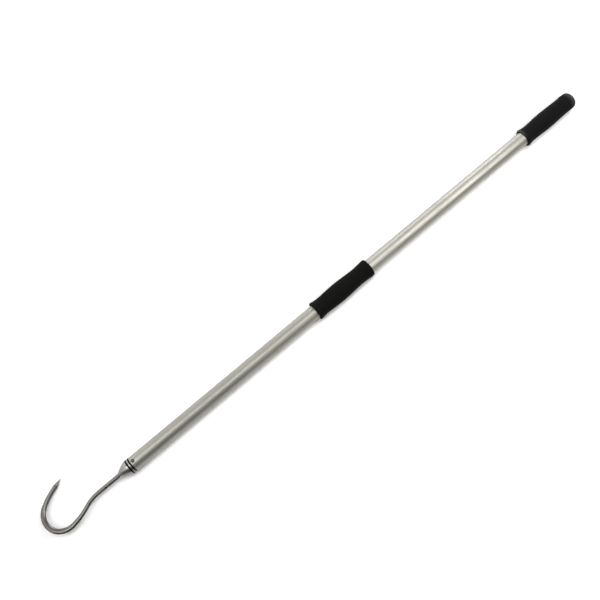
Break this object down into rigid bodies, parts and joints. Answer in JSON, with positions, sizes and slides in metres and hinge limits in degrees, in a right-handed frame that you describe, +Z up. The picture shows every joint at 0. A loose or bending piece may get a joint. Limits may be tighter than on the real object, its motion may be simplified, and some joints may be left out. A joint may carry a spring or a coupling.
{
  "type": "fishing gaff",
  "caption": "Fishing gaff: straight aluminium pole with foam grips at the middle and the butt, and a bent steel hook held in a turned nose with rubber rings.",
  "frame": {"origin": "centre of the butt's flat end, on the pole's axis", "axes": "+X along the pole towards the hook, +Z up from the surface the gaff lies on, -Y towards the side its hook bends to"},
  "size_m": [1.183, 0.0804, 0.0346],
  "materials": {
    "tube_aluminium": "satin drawn",
    "nose_aluminium": "turned and polished",
    "rivet_aluminium": "dull",
    "hook_steel": "polished, a little worn",
    "fastener_steel": "plain bright",
    "ring_rubber": "black, satin",
    "grip_foam": "black closed-cell foam, matt",
    "plug_plastic": "moulded",
    "insert_nylon": "plain"
  },
  "bodies": {
    "root": {"pole_tube": "tube_aluminium", "butt_plug": "plug_plastic", "rear_grip": "grip_foam", "middle_grip": "grip_foam", "nose_cone": "nose_aluminium", "tube_end_o_ring": "ring_rubber", "cone_o_ring": "ring_rubber", "hook": "hook_steel", "hook_washer": "fastener_steel", "hook_lock_nut": "fastener_steel", "lock_nut_insert": "insert_nylon", "upper_rivet": "rivet_aluminium", "upper_rivet_stem": "fastener_steel", "lower_rivet": "rivet_aluminium", "lower_rivet_stem": "fastener_steel"}
  },
  "joints": []
}
